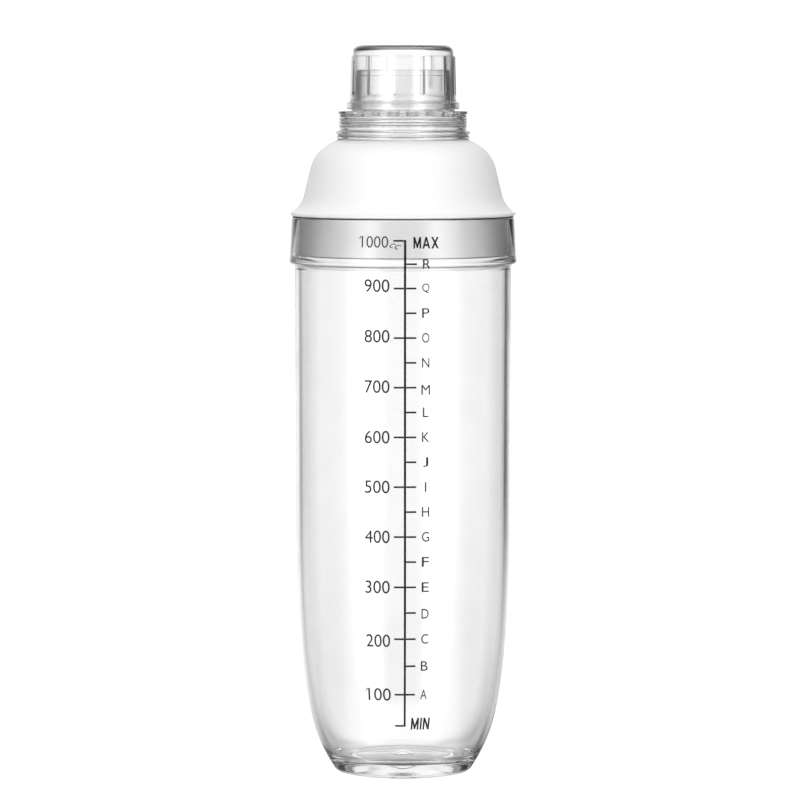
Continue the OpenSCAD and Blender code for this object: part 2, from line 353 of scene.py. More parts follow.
@dataclass
class SurfaceEffects:
    """The moulded plastics' shared surface effects, each a node group that is built once."""

    groups: dict[str, bpy.types.NodeTree] = field(default_factory=dict)

    def _new(self, name: str, inputs: dict[str, float], outputs: list[str]) -> Wiring:
        """Starts a node group.

        Args:
            name: the group's name.
            inputs: each input's name and the value it starts with.
            outputs: each output's name.

        Returns:
            The wiring of the new group.
        """
        tree = bpy.data.node_groups.new(name, "ShaderNodeTree")
        for label, value in inputs.items():
            socket = tree.interface.new_socket(label, in_out="INPUT", socket_type="NodeSocketFloat")
            socket.default_value = value
        for label in outputs:
            tree.interface.new_socket(label, in_out="OUTPUT", socket_type="NodeSocketFloat")
        self.groups[name] = tree
        return Wiring(tree)

    def moulding(self) -> bpy.types.NodeTree:
        """The slow waviness that cooling leaves in a moulded wall.

        Returns:
            The group, which gives a height and a mask of faint haze.
        """
        name = "moulding waviness"
        if name in self.groups:
            return self.groups[name]
        wiring = self._new(name, {"Wave Scale": 18.0, "Haze Scale": 60.0}, ["Height", "Haze"])
        given = wiring.add("NodeGroupInput")
        gives = wiring.add("NodeGroupOutput")
        place = wiring.add("ShaderNodeTexCoord")
        tall = wiring.add("ShaderNodeMapping")
        tall.inputs["Scale"].default_value = (1.0, 1.0, 0.22)
        wave = wiring.add("ShaderNodeTexNoise")
        wave.inputs["Detail"].default_value = 1.5
        haze = wiring.add("ShaderNodeTexNoise")
        haze.inputs["Detail"].default_value = 7.0
        haze.inputs["Roughness"].default_value = 0.62
        wiring.link(place.outputs["Object"], tall.inputs["Vector"])
        wiring.link(tall.outputs["Vector"], wave.inputs["Vector"])
        wiring.link(place.outputs["Object"], haze.inputs["Vector"])
        wiring.link(given.outputs["Wave Scale"], wave.inputs["Scale"])
        wiring.link(given.outputs["Haze Scale"], haze.inputs["Scale"])
        wiring.link(wave.outputs["Fac"], gives.inputs["Height"])
        wiring.link(wiring.spread(haze.outputs["Fac"], (0.38, 0.72), (0.0, 1.0)), gives.inputs["Haze"])
        return self.groups[name]

    def handling(self) -> bpy.types.NodeTree:
        """The hairlines that washing and stacking leave in plastic.

        Returns:
            The group, which gives a mask of hairlines.
        """
        name = "handling hairlines"
        if name in self.groups:
            return self.groups[name]
        wiring = self._new(name, {"Scale": 900.0, "Amount": 0.5}, ["Hairline"])
        given = wiring.add("NodeGroupInput")
        gives = wiring.add("NodeGroupOutput")
        place = wiring.add("ShaderNodeTexCoord")
        masks = []
        for turn, stretch in ((0.5, 0.03), (-0.35, 0.04)):
            lie = wiring.add("ShaderNodeMapping")
            lie.inputs["Rotation"].default_value = (turn, turn / 2, turn)
            lie.inputs["Scale"].default_value = (1.0, 1.0, stretch)
            line = wiring.add("ShaderNodeTexNoise")
            line.inputs["Detail"].default_value = 2.0
            wiring.link(place.outputs["Object"], lie.inputs["Vector"])
            wiring.link(lie.outputs["Vector"], line.inputs["Vector"])
            wiring.link(given.outputs["Scale"], line.inputs["Scale"])
            masks.append(wiring.spread(line.outputs["Fac"], (0.66, 0.78), (0.0, 1.0)))
        both = wiring.math("MAXIMUM", masks[0], masks[1])
        wiring.link(wiring.math("MULTIPLY", both, given.outputs["Amount"]), gives.inputs["Hairline"])
        return self.groups[name]


def placed(wiring: Wiring, group: bpy.types.NodeTree, **values: float) -> bpy.types.Node:
    """Puts a node group in a material.

    Args:
        wiring: the material's wiring.
        group: the group's tree.
        values: input values, with spaces written as underscores.

    Returns:
        The group node.
    """
    node = wiring.add("ShaderNodeGroup", node_tree=group)
    for label, value in values.items():
        node.inputs[label.replace("_", " ")].default_value = value
    return node


def fresh_material(name: str) -> tuple[bpy.types.Material, Wiring, bpy.types.Node, bpy.types.Node]:
    """Starts a material with a shader joined to its output.

    Args:
        name: the material's name.

    Returns:
        The material, its wiring, its shader and its output node.
    """
    material = bpy.data.materials.new(name)
    material.use_nodes = True
    material.node_tree.nodes.clear()
    wiring = Wiring(material.node_tree)
    shader = wiring.add("ShaderNodeBsdfPrincipled")
    output = wiring.add("ShaderNodeOutputMaterial")
    wiring.link(shader.outputs["BSDF"], output.inputs["Surface"])
    return material, wiring, shader, output


def two_tone(
    wiring: Wiring, mask: bpy.types.NodeSocket, low: tuple[float, ...], high: tuple[float, ...]
) -> bpy.types.NodeSocket:
    """Mixes two colours by a mask.

    Args:
        wiring: the material's wiring.
        mask: where the second colour shows.
        low: the colour where the mask is 0.
        high: the colour where the mask is 1.

    Returns:
        The mixed colour.
    """
    mix = wiring.add("ShaderNodeMix", data_type="RGBA")
    wiring.link(mask, mix.inputs["Factor"])
    mix.inputs[6].default_value = (*low, 1.0)
    mix.inputs[7].default_value = (*high, 1.0)
    return mix.outputs[2]


# ---------------------------------------------------------------- finishes


@dataclass(frozen=True)
class ClearPlastic:
    """Polished clear plastic, faintly hazed and scored by use.

    Attributes:
        name: the material's name.
        bend: the plastic's refractive index.
        gloss: roughness of the clean surface.
        worn: roughness where it is hazed or scored.
        clean: how much of the light a clean surface lets by.
        hazed: how much a hazed surface lets by.
        smoke: how strongly the plastic itself takes up light, per metre.
        wave: height of the moulding waviness, in metres.
    """

    name: str
    bend: float = 1.56
    gloss: float = 0.015
    worn: float = 0.12
    clean: tuple[float, float, float] = (1.0, 1.0, 1.0)
    hazed: tuple[float, float, float] = (0.98, 0.98, 0.982)
    smoke: float = 4.0
    wave: float = 0.00012

    def material(self, effects: SurfaceEffects) -> bpy.types.Material:
        """Builds the material.

        Args:
            effects: the shared node groups.

        Returns:
            The material.
        """
        material, wiring, shader, output = fresh_material(self.name)
        moulded = placed(wiring, effects.moulding(), Wave_Scale=22.0, Haze_Scale=75.0)
        scored = placed(wiring, effects.handling(), Scale=700.0, Amount=0.6)
        faint = wiring.math("MULTIPLY", moulded.outputs["Haze"], 0.5)
        wear = wiring.math("MAXIMUM", faint, scored.outputs["Hairline"])
        shader.inputs["IOR"].default_value = self.bend
        shader.inputs["Transmission Weight"].default_value = 1.0
        wiring.link(wiring.spread(wear, (0.0, 1.0), (self.gloss, self.worn)), shader.inputs["Roughness"])
        colour = two_tone(wiring, moulded.outputs["Haze"], self.clean, self.hazed)
        wiring.link(colour, shader.inputs["Base Color"])
        bump = wiring.add("ShaderNodeBump")
        bump.inputs["Distance"].default_value = self.wave
        wiring.link(moulded.outputs["Height"], bump.inputs["Height"])
        wiring.link(bump.outputs["Normal"], shader.inputs["Normal"])
        tint = wiring.add("ShaderNodeVolumeAbsorption")
        tint.inputs["Color"].default_value = (0.30, 0.33, 0.35, 1.0)
        tint.inputs["Density"].default_value = self.smoke
        wiring.link(tint.outputs["Volume"], output.inputs["Volume"])
        return material


@dataclass(frozen=True)
class FrostedPlastic:
    """Milky plastic with the fine satin grain of an etched mould.

    Attributes:
        name: the material's name.
        milk: the colour between the grains.
        bloom: the colour on the grains.
        through: how much light passes straight in.
        satin: roughness of the grain.
        grain: how many grains there are in a metre.
        relief: height of the grain, in metres.
    """

    name: str
    milk: tuple[float, float, float] = (0.985, 0.985, 0.985)
    bloom: tuple[float, float, float] = (0.995, 0.995, 0.995)
    through: float = 0.1
    satin: float = 0.5
    grain: float = 2600.0
    relief: float = 0.00003

    def material(self, effects: SurfaceEffects) -> bpy.types.Material:
        """Builds the material.

        Args:
            effects: the shared node groups.

        Returns:
            The material.
        """
        material, wiring, shader, _ = fresh_material(self.name)
        moulded = placed(wiring, effects.moulding(), Wave_Scale=30.0, Haze_Scale=140.0)
        scored = placed(wiring, effects.handling(), Scale=600.0, Amount=0.35)
        place = wiring.add("ShaderNodeTexCoord")
        etched = wiring.add("ShaderNodeTexNoise")
        etched.inputs["Scale"].default_value = self.grain
        etched.inputs["Detail"].default_value = 2.0
        wiring.link(place.outputs["Object"], etched.inputs["Vector"])
        shader.inputs["IOR"].default_value = 1.5
        shader.inputs["Transmission Weight"].default_value = self.through
        shader.inputs["Subsurface Weight"].default_value = 0.3
        shader.inputs["Subsurface Radius"].default_value = (1.0, 1.0, 1.0)
        shader.inputs["Subsurface Scale"].default_value = 0.004
        worn = wiring.math("MAXIMUM", moulded.outputs["Haze"], scored.outputs["Hairline"])
        rough = wiring.spread(worn, (0.0, 1.0), (self.satin, self.satin + 0.12))
        wiring.link(rough, shader.inputs["Roughness"])
        colour = two_tone(wiring, etched.outputs["Fac"], self.milk, self.bloom)
        wiring.link(colour, shader.inputs["Base Color"])
        bump = wiring.add("ShaderNodeBump")
        bump.inputs["Distance"].default_value = self.relief
        wiring.link(etched.outputs["Fac"], bump.inputs["Height"])
        wiring.link(bump.outputs["Normal"], shader.inputs["Normal"])
        return material


@dataclass(frozen=True)
class PrintedInk:
    """Screen-printed black ink, a little thin in places.

    Attributes:
        name: the material's name.
        full: colour where the ink is full.
        thin: colour where it is thin.
    """

    name: str
    full: tuple[float, float, float] = (0.006, 0.006, 0.007)
    thin: tuple[float, float, float] = (0.03, 0.03, 0.032)

    def material(self, effects: SurfaceEffects) -> bpy.types.Material:
        """Builds the material.

        Args:
            effects: the shared node groups.

        Returns:
            The material.
        """
        material, wiring, shader, _ = fresh_material(self.name)
        worn = placed(wiring, effects.moulding(), Wave_Scale=60.0, Haze_Scale=650.0)
        wiring.link(two_tone(wiring, worn.outputs["Haze"], self.full, self.thin), shader.inputs["Base Color"])
        wiring.link(wiring.spread(worn.outputs["Haze"], (0.0, 1.0), (0.42, 0.6)), shader.inputs["Roughness"])
        shader.inputs["Specular IOR Level"].default_value = 0.25
        bump = wiring.add("ShaderNodeBump")
        bump.inputs["Distance"].default_value = 0.00001
        wiring.link(worn.outputs["Haze"], bump.inputs["Height"])
        wiring.link(bump.outputs["Normal"], shader.inputs["Normal"])
        return material


@dataclass(frozen=True)
class SealRubber:
    """A seal ring's near-black colour, painted shadow for the gap under the lid's lip, dull and a little
    patchy.

    Attributes:
        name: the material's name.
        skin: the painted shadow's main, near-black colour.
        shadow_tone_patches: see dust.
        dust: its slightly lighter colour in patches.
    """

    name: str
    skin: tuple[float, float, float] = (0.008, 0.008, 0.009)
    dust: tuple[float, float, float] = (0.03, 0.03, 0.032)

    def material(self, effects: SurfaceEffects) -> bpy.types.Material:
        """Builds the material.

        Args:
            effects: the shared node groups.

        Returns:
            The material.
        """
        material, wiring, shader, _ = fresh_material(self.name)
        worn = placed(wiring, effects.moulding(), Wave_Scale=80.0, Haze_Scale=500.0)
        # Near-black painted shadow for the gap under the lid's lip, a little lighter in patches.
        wiring.link(two_tone(wiring, worn.outputs["Haze"], self.skin, self.dust), shader.inputs["Base Color"])
        wiring.link(wiring.spread(worn.outputs["Haze"], (0.0, 1.0), (0.5, 0.75)), shader.inputs["Roughness"])
        return material


@dataclass
class Finishes:
    """The bottle's materials, built once.

    Attributes:
        clear: the cup's plastic.
        satin: the cap's and neck's slightly dull plastic.
        etched: the plug's dull see-through plastic.
        frosted: the lid's plastic.
        ink: the print.
        rubber: the seal's near-black colour, painted shadow for the gap under the lid's lip.
    """

    clear: bpy.types.Material
    satin: bpy.types.Material
    etched: bpy.types.Material
    frosted: bpy.types.Material
    ink: bpy.types.Material
    rubber: bpy.types.Material

    @classmethod
    def mixed(cls) -> Finishes:
        """Builds every material from its finish.

        Returns:
            The finishes.
        """
        effects = SurfaceEffects()
        etched = ClearPlastic("clear etched plastic", gloss=0.3, worn=0.4, hazed=(0.99, 0.99, 0.99))
        return cls(
            ClearPlastic("clear moulded plastic").material(effects),
            ClearPlastic("clear satin plastic", gloss=0.09, worn=0.18).material(effects),
            etched.material(effects),
            FrostedPlastic("frosted moulded plastic").material(effects),
            PrintedInk("black printed ink").material(effects),
            # The seal's near-black colour is painted shadow for the gap under the lid's lip.
            SealRubber("seal with painted gap shadow").material(effects),
        )


# ---------------------------------------------------------------- the cup


@dataclass
class Cup:
    """The clear cup: a wall that tapers to a small foot, and a collar round the mouth.

    Attributes:
        finishes: the bottle's materials.
        radius: outside radius just under the collar.
        height: height of the rim.
        wall: thickness of the wall.
        draft: draft of the straight wall, in degrees.
        arcs: radius of each arc from the straight wall to the foot, and the wall's
            slope, in degrees, where it takes over.
        heel: radius of the inside's own arc near the foot, and the slope where it starts.
        fillet: radius of the round between the wall and the floor inside.
        collar: height of the collar.
        collar_out: how far its lower bead stands out.
        mouth: radius of the mouth.
        floor: height of the inside floor.
        hollow: depth of the hollow under the floor.
        gate: radius of the round gate mark in the floor.
        outer: bends of the outer face.
        inner: bends of the inner face.
    """

    finishes: Finishes
    radius: float = 43.0
    height: float = 221.1
    wall: float = 2.3
    draft: float = 0.2
    arcs: tuple[Point, ...] = ((814.0, 0.2), (261.5, 3.4), (64.4, 10.4), (4.0, 33.8))
    heel: Point = (58.0, 10.4)
    fillet: float = 6.0
    collar: float = 20.1
    collar_out: float = 2.26
    mouth: float = 42.0
    floor: float = 6.5
    hollow: float = 3.2
    gate: float = 4.3
    outer: list[Bend] = field(init=False)
    inner: list[Bend] = field(init=False)

    def __post_init__(self) -> None:
        """Works out the bends of both faces of the wall."""
        runs = [(0.0, 0.0)]
        for (before, _), (after, slope) in zip(self.arcs, self.arcs[1:]):
            turn = math.radians(slope)
            step = before - after
            runs.append((runs[-1][0] + step * math.cos(turn), runs[-1][1] - step * math.sin(turn)))
        first_arc, draft = self.arcs[0][0], math.radians(self.draft)
        first_z = self.arcs[-1][0] - runs[-1][1]
        straight_z = first_z - first_arc * math.sin(draft)
        first_r = self.radius - (self.step_z - straight_z) * math.tan(draft) - first_arc * math.cos(draft)
        centres = [(first_r + r, first_z + z) for r, z in runs]
        slopes = [slope for _, slope in self.arcs] + [90.0]
        radii = [radius for radius, _ in self.arcs]
        self.outer = [Bend(*bend) for bend in zip(centres, radii, slopes, slopes[1:])]
        self.inner = self.inner_bends()

    def inner_bends(self) -> list[Bend]:
        """The inside: level with the outside high up, thicker towards the foot.

        Returns:
            The bends from the straight wall to the flat floor.
        """
        heel_r, heel_slope = self.heel
        first, second = self.outer[:2]
        turn = math.radians(heel_slope)
        step = second.radius - self.wall - heel_r
        heel = (second.centre[0] + step * math.cos(turn), second.centre[1] - step * math.sin(turn))
        last_turn = math.asin((heel[1] - self.floor - self.fillet) / (heel_r - self.fillet))
        step = heel_r - self.fillet
        last = (heel[0] + step * math.cos(last_turn), heel[1] - step * math.sin(last_turn))
        end = math.degrees(last_turn)
        return [
            Bend(first.centre, first.radius - self.wall, first.start, first.end),
            Bend(second.centre, second.radius - self.wall, second.start, heel_slope),
            Bend(heel, heel_r, heel_slope, end),
            Bend(last, self.fillet, end, 90.0),
        ]

    @property
    def step_z(self) -> float:
        """Height of the step under the collar."""
        return self.height - self.collar

    @property
    def flare(self) -> Point:
        """Heights between which the inside widens into the mouth."""
        return self.step_z - 0.4, self.step_z + 4.6

    @property
    def bead_z(self) -> float:
        """Height of the middle of the collar's bead."""
        return self.step_z + 2.8

    def straight(self, z: float, inset: float) -> float:
        """Radius of the straight wall at a height.

        Args:
            z: the height.
            inset: how far inside the outer surface.

        Returns:
            The radius.
        """
        draft = math.radians(self.draft)
        return self.radius - (self.step_z - z) * math.tan(draft) - inset / math.cos(draft)

    def wall_path(self, bends: list[Bend], inset: float) -> Path:
        """One face of the wall, from its lowest point up to the collar's step.

        Args:
            bends: the face's bends, from the top.
            inset: how far inside the outer surface the straight part is.

        Returns:
            Points from the lowest up.
        """
        falling: Path = []
        for bend in bends:
            steps = max(6, round(bend.radius * math.radians(bend.end - bend.start) / 2.2))
            falling += arc(bend.centre, bend.radius, -bend.start, -bend.end, steps)[1 if falling else 0 :]
        rising = list(reversed(falling))
        levels = np.linspace(rising[-1][1], self.step_z, 10)[1:]
        return rising + [(self.straight(z, inset), z) for z in levels]

    def outside(self, z: float) -> float:
        """Radius of the outer surface at a height, collar included.

        Args:
            z: the height.

        Returns:
            The radius.
        """
        path = self.wall_path(self.outer, 0.0)[:-1] + self.collar_path()
        heights = [p[1] for p in path]
        order = np.argsort(heights)
        return float(np.interp(z, np.array(heights)[order], np.array([p[0] for p in path])[order]))

    def collar_path(self) -> Path:
        """The collar's outside, from its step to the top of the rim."""
        bead, rim_round = 1.3, 0.8
        top = self.radius + self.collar_out - 1.04
        middle = (self.radius + self.collar_out - bead, self.bead_z)
        round_off = arc(middle, bead, -70.0, 32.0, 12)
        step = eased([
            (self.radius, self.step_z - 0.6, 0.0),
            (self.radius, self.step_z, 0.5),
            (self.radius + 0.6, self.step_z + 1.4, 0.3),
            (round_off[0][0] - 0.25, self.bead_z - bead - 0.02, 0.3),
            (*round_off[0], 0.0),
        ])
        side = eased([
            (*round_off[-1], 0.0),
            (self.radius + self.collar_out - 0.32, self.bead_z + 1.7, 0.6),
            (top, self.height - rim_round, 0.0),
        ])
        rim = arc((top - rim_round, self.height - rim_round), rim_round, 0.0, 90.0, 8)
        return step + round_off[1:] + side[1:] + rim[1:]

    def build(self) -> bpy.types.Object:
        """Turns the cup, walls, floor, foot and all.

        Returns:
            The cup.
        """
        foot = self.outer[-1].centre[0]
        under = arc((0.0, self.hollow - self.gate), self.gate * math.sqrt(2), 90.0, 45.0, 10) + eased([
            (self.gate, self.hollow, 0.0),
            (foot - 5.0, self.hollow, 1.6),
            (foot - 2.4, 0.0, 0.6),
            (foot - 1.0, 0.0, 0.0),
        ])[1:]
        outside = self.wall_path(self.outer, 0.0)[:-1] + self.collar_path()
        inside = [p for p in self.wall_path(self.inner, self.wall) if p[1] < self.flare[0] - 2.0]
        low, high = self.flare
        mouth = eased([
            (outside[-1][0], self.height, 0.0),
            (self.mouth, self.height, 0.5),
            (self.mouth, high, 0.9),
            (self.straight(low, self.wall), low, 1.2),
            (*inside[-1], 0.0),
        ])
        dome, dome_rise = 9.0, 1.1
        edge = math.degrees(math.acos(self.gate / dome))
        bump = arc((0.0, self.floor + dome_rise - dome), dome, edge, 90.0, 10)
        across = [(r, self.floor) for r in np.linspace(inside[0][0], self.gate + 0.8, 6)[1:]]
        path = under + outside + mouth[1:] + list(reversed(inside))[1:] + across + bump
        cup = turned("clear_cup", path, 288, closed=False)
        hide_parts("cup")
        settle(cup, Body.CUP, self.finishes.clear)
        return cup


# ---------------------------------------------------------------- the printed scale


@dataclass(frozen=True)
class Label:
    """One line of print beside the scale.

    Attributes:
        words: what it says, or "/" for the flag on a numeral's 1.
        x: how far its middle is from the front, along the cup's face.
        z: height of its middle.
        width: its full width.
        height: its full height.
        weight: how heavily it is drawn.
        slant: lean of its uprights.
        tilt: turn of the whole line, in degrees.
    """

    words: str
    x: float
    z: float
    width: float
    height: float
    weight: Lettering = Lettering.PLAIN
    slant: float = 0.0
    tilt: float = 0.0

    @property
    def group(self) -> str:
        """Name of the piece that the label is printed in."""
        if self.words.isdigit() or self.words == "/":
            return "printed_numerals"
        return "printed_letters" if len(self.words) == 1 else "printed_limits"


@dataclass
class Graduations:
    """The printed scale: the upright line with its marks, the numerals and the letters.

    Attributes:
        finishes: the bottle's materials.
        cup: the cup that it is printed on.
        ink: thickness of the ink.
        numeral_x: middle of the column of numerals, along the cup's face.
        letter_x: middle of the column of letters.
        top: capacity at the top mark.
        step: capacity between two marks.
    """

    finishes: Finishes
    cup: Cup
    ink: float = 0.1
    numeral_x: float = -10.3
    letter_x: float = 8.9
    top: int = 1000
    step: int = 50

    def marks(self) -> dict[int, float]:
        """Height of each mark on the upright line.

        Returns:
            The height for each capacity.
        """
        capacities = range(self.step, self.top + 1, self.step)
        return {capacity: self.level(capacity) for capacity in capacities}

    def level(self, capacity: float) -> float:
        """Height that a capacity reaches inside the cup.

        Args:
            capacity: cubic centimetres.

        Returns:
            The height, in millimetres.
        """
        inner = self.cup.wall_path(self.cup.inner, self.cup.wall)
        radii, heights = np.array([p[0] for p in inner]), np.array([p[1] for p in inner])
        z = np.linspace(self.cup.floor, self.cup.height, 2000)
        narrow = self.cup.straight(self.cup.flare[0], self.cup.wall)
        widening = np.interp(z, self.cup.flare, (narrow, self.cup.mouth))
        r = np.where(z > self.cup.flare[0], widening, np.interp(z, heights, radii))
        volume = np.concatenate([[0.0], np.cumsum(np.diff(z) * math.pi * ((r[1:] + r[:-1]) / 2) ** 2)]) / 1000
        return float(np.interp(capacity, volume, z))

    def labels(self) -> list[Label]:
        """Every line of print beside the marks.

        Returns:
            The labels.
        """
        levels = self.marks()
        top, bottom = levels[self.top], levels[self.step]
        shift = {900: 1.0, 800: 0.6, 700: 0.3, 200: -0.7, "M": -0.9, "D": -0.4}
        labels = []
        for capacity in range(100, self.top, 100):
            z = levels[capacity] + shift.get(capacity, 0.0)
            labels.append(Label(str(capacity), self.numeral_x, z, 10.0, 5.0))
        labels.append(Label(str(self.top), self.numeral_x - 0.4, top - 0.5, 10.2, 4.5, Lettering.FINE))
        labels.append(Label("/", self.numeral_x - 5.6, levels[100] + 1.9, 1.3, 1.2, Lettering.FLAG))
        labels.append(Label("/", self.numeral_x - 6.0, top + 1.2, 1.2, 1.1, Lettering.FLAG))
        letters = (chr(ord("A") + i) for i in range(26))
        for capacity, letter in zip(range(100, self.top, 50), letters):
            z = levels[capacity] + shift.get(letter, 0.0)
            width = {"I": 0.55, "M": 3.4, "J": 2.1, "L": 2.2}.get(letter, 2.9)
            labels.append(Label(letter, self.letter_x, z, width, 3.8))
        labels.append(Label("MAX", 8.7, top - 0.8, 9.7, 4.5, Lettering.BARRED))
        labels.append(Label("MIN", 7.9, bottom + 0.8, 8.6, 4.8, Lettering.BARRED, slant=0.05))
        labels.append(Label("cc", -3.1, top - 2.2, 3.6, 1.9, Lettering.FINE, slant=0.5, tilt=-14.0))
        return labels

    def printed(self, label: Label) -> bmesh.types.BMesh:
        """Draws one label flat, cuts it fine and lays it on the cup's face.

        Args:
            label: the line of print.

        Returns:
            The label as thin raised ink.
        """
        bars = label.weight in (Lettering.BARRED, Lettering.FLAG)
        flat = self.barred(label) if bars else self.lettered(label)
        self.fit(flat, label)
        span = label.width / 2 + 1
        for x in np.arange(-span, span, 0.7):
            geometry = flat.verts[:] + flat.edges[:] + flat.faces[:]
            bmesh.ops.bisect_plane(flat, geom=geometry, plane_co=(label.x + x, 0, 0), plane_no=(1, 0, 0))
        front = bmesh.ops.extrude_face_region(flat, geom=flat.faces[:])
        raised = {v for v in front["geom"] if isinstance(v, bmesh.types.BMVert)}
        for vert in flat.verts:
            out = self.cup.outside(vert.co.y) + (self.ink if vert in raised else 0.0)
            turn = vert.co.x / self.cup.radius - math.pi / 2
            vert.co = Vector((out * math.cos(turn), out * math.sin(turn), vert.co.y)) * MM
        bmesh.ops.recalc_face_normals(flat, faces=flat.faces)
        return flat

    @staticmethod
    def lettered(label: Label) -> bmesh.types.BMesh:
        """Draws a label flat in the plain typeface.

        Args:
            label: the line of print.

        Returns:
            The flat letters.
        """
        curve = bpy.data.curves.new("label", "FONT")
        curve.body = label.words
        curve.offset = label.weight.value
        curve.resolution_u = 6
        text = bpy.data.objects.new("label", curve)
        bpy.context.scene.collection.objects.link(text)
        bpy.context.view_layer.update()
        flat = bmesh.new()
        view = bpy.context.evaluated_depsgraph_get()
        flat.from_mesh(bpy.data.meshes.new_from_object(text.evaluated_get(view)))
        bpy.data.objects.remove(text)
        bmesh.ops.remove_doubles(flat, verts=flat.verts, dist=1e-5)
        return flat

    @staticmethod
    def barred(label: Label) -> bmesh.types.BMesh:
        """Draws a label flat from straight bars, cut level at the top and the foot.

        Args:
            label: the line of print.

        Returns:
            The flat bars.
        """
        flat = bmesh.new()
        thick = label.weight.value
        start = 0.0
        for letter in label.words:
            width, lines = STROKES[letter]
            for line in lines:
                for first, last in zip(line, line[1:]):
                    tail = Vector((start + first[0] * width, first[1]))
                    head = Vector((start + last[0] * width, last[1]))
                    along = (head - tail).normalized() * thick / 2
                    aside = Vector((-along.y, along.x))
                    tail, head = tail - along, head + along
                    corners = (tail + aside, tail - aside, head - aside, head + aside)
                    flat.faces.new([flat.verts.new((corner.x, corner.y, 0.0)) for corner in corners])
            start += width + thick + 0.14
        for level, facing in ((0.0, -1.0), (1.0, 1.0)):
            geometry = flat.verts[:] + flat.edges[:] + flat.faces[:]
            bmesh.ops.bisect_plane(
                flat, geom=geometry, plane_co=(0, level, 0), plane_no=(0, facing, 0), clear_outer=True
            )
        return flat

    @staticmethod
    def fit(flat: bmesh.types.BMesh, label: Label) -> None:
        """Scales flat print to its label's size and moves it to its place.

        Args:
            flat: the print, which is changed.
            label: the size and place.
        """
        spots = np.array([v.co[:2] for v in flat.verts])
        low, high = spots.min(0), spots.max(0)
        tilt = math.radians(label.tilt)
        for vert in flat.verts:
            x, y = (np.array(vert.co[:2]) - (low + high) / 2) / (high - low) * (label.width, label.height)
            x += label.slant * y
            vert.co = Vector((
                label.x + x * math.cos(tilt) - y * math.sin(tilt),
                label.z + x * math.sin(tilt) + y * math.cos(tilt),
                0.0,
            ))

    def build(self) -> list[bpy.types.Object]:
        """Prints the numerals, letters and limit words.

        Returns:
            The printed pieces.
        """
        groups: dict[str, list[Label]] = {"printed_numerals": [], "printed_letters": [], "printed_limits": []}
        for label in self.labels():
            groups[label.group].append(label)
        pieces = []
        for name, labels in groups.items():
            whole = bmesh.new()
            for label in labels:
                part = self.printed(label)
                loose = bpy.data.meshes.new("label")
                part.to_mesh(loose)
                part.free()
                whole.from_mesh(loose)
                bpy.data.meshes.remove(loose)
            piece = solid_from(whole, name)
            settle(piece, Body.CUP, self.finishes.ink)
            pieces.append(piece)
        return pieces

    def dress(self, frame: dict) -> None:
        """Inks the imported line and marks.

        Args:
            frame: the loaded frame.
        """
        marks = frame["nodes"]["scale_print"]
        marks.data.materials.clear()
        marks.data.materials.append(self.finishes.ink)


# ---------------------------------------------------------------- the lid


